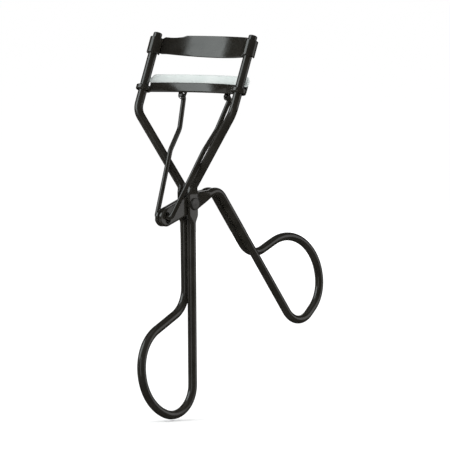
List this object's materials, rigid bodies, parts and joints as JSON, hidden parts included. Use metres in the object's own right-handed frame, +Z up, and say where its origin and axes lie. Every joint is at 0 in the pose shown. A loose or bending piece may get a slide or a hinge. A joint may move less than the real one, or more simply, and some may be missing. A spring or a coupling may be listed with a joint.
{
  "type": "eyelash curler",
  "caption": "Hand-held eyelash curler: squeezing a looped wire lever drives a padded sliding jaw up two guide rods against a fixed curved jaw.",
  "frame": {"origin": "bottom centre of the bounding box, under the middle of the two handle loops with the straight handle upright", "axes": "+Z up along the straight handle towards the jaws, X across the width of the jaws, +Y towards the lever and the jaws' convex side"},
  "size_m": [0.0376, 0.0726, 0.1017],
  "materials": {
    "frame_wire": "glossy black coating on steel wire",
    "top_plate": "glossy black coating on sheet steel",
    "pivot_rivet": "satin black coating on a steel rivet",
    "lower_bar": "glossy black coating on sheet steel",
    "pad": "soft translucent white silicone",
    "link_left": "glossy black coating on thin steel wire",
    "link_right": "glossy black coating on thin steel wire",
    "lever_wire": "glossy black coating on steel wire"
  },
  "bodies": {
    "frame": {"frame_wire": "frame_wire", "top_plate": "top_plate", "pivot_rivet": "pivot_rivet"},
    "lever": {"lever_wire": "lever_wire"},
    "bar": {"lower_bar": "lower_bar", "pad": "pad"},
    "link_left": {"link_left": "link_left"},
    "link_right": {"link_right": "link_right"}
  },
  "joints": [
    {"name": "lever_pivot", "type": "hinge", "parent": "frame", "child": "lever", "pos_m": [0, -0.01657, 0.05668], "axis": [-1, 0, 0], "range_deg": [0, 33]},
    {"name": "bar_slide", "type": "slide", "parent": "frame", "child": "bar", "axis": [0, 0.3827, 0.9239], "range_m": [0, 0.0045]},
    {"name": "link_left_hinge", "type": "hinge", "parent": "bar", "child": "link_left", "pos_m": [-0.00795, -0.00849, 0.08498], "axis": [-1, 0, 0], "range_deg": [0, 4]},
    {"name": "link_right_hinge", "type": "hinge", "parent": "bar", "child": "link_right", "pos_m": [0.00795, -0.00849, 0.08498], "axis": [-1, 0, 0], "range_deg": [0, 4]}
  ],
  "couplings": [
    {"joint": "bar_slide", "follows": "lever_pivot", "m_per_rad": 0.00765},
    {"joint": "link_left_hinge", "follows": "lever_pivot", "ratio": 0.11},
    {"joint": "link_right_hinge", "follows": "lever_pivot", "ratio": 0.11}
  ]
}
